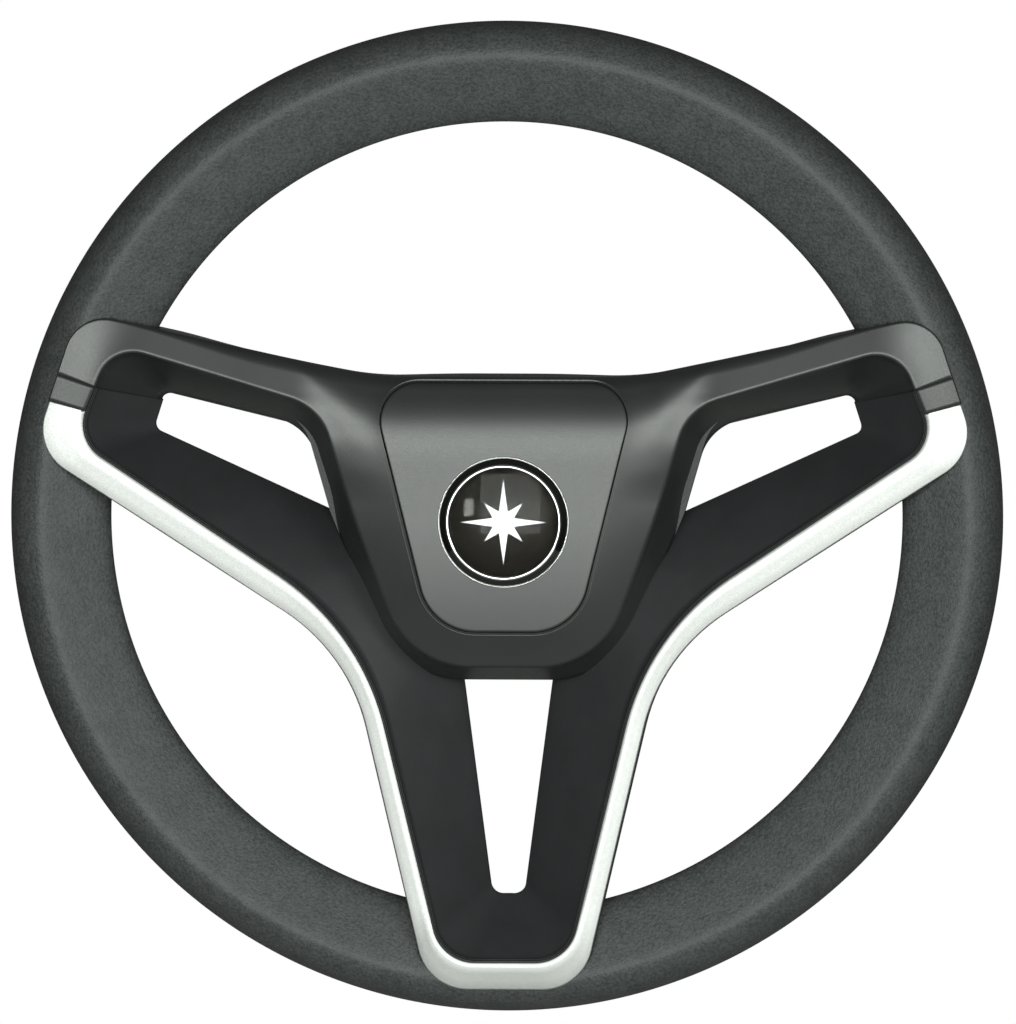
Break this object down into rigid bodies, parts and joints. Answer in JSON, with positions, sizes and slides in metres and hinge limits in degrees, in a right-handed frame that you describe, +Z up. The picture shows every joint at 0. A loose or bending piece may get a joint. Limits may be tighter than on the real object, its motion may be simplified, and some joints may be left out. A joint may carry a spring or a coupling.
{
  "type": "boat steering wheel",
  "caption": "Boat steering wheel with a soft oval rim, a Y spoke set with windows and a slot, a hub bowl with a snap-in pad and round badge, and a tapered hub.",
  "frame": {"origin": "on the shaft axis, at the hub's rear face, where the helm shaft enters", "axes": "+Y along the shaft axis, from the driver towards the dash; +Z up with the wheel straight ahead; +X to the driver's right"},
  "size_m": [0.35, 0.0911, 0.35],
  "materials": {
    "rim_skin": "matt, fine sandy grain",
    "steel": "plain",
    "cast_alloy": "as cast",
    "black_moulding": "matt, fine grain",
    "grey_paint": "satin painted",
    "grey_block": "satin painted",
    "satin_silver": "satin",
    "pad_skin": "satin painted",
    "bright_chrome": "polished",
    "gloss_black": "gloss",
    "white_print": "printed",
    "clear_lens": "clear, domed"
  },
  "bodies": {
    "root": {"rim_grip": "rim_skin", "rim_core_ring": "steel", "hub_armature": "cast_alloy", "hub_insert": "steel", "spoke_fascia": "black_moulding", "front_cover": "grey_paint", "left_spoke_end_block": "grey_block", "right_spoke_end_block": "grey_block", "lower_trim": "satin_silver", "centre_pad": "pad_skin", "pad_clips": "steel", "badge_bezel": "bright_chrome", "badge_disc": "gloss_black", "badge_star": "white_print", "badge_dome": "clear_lens", "rear_cover": "black_moulding", "hub_shroud": "black_moulding", "rear_cover_screws": "steel", "front_cover_screws": "steel", "shroud_screws": "steel"}
  },
  "joints": []
}
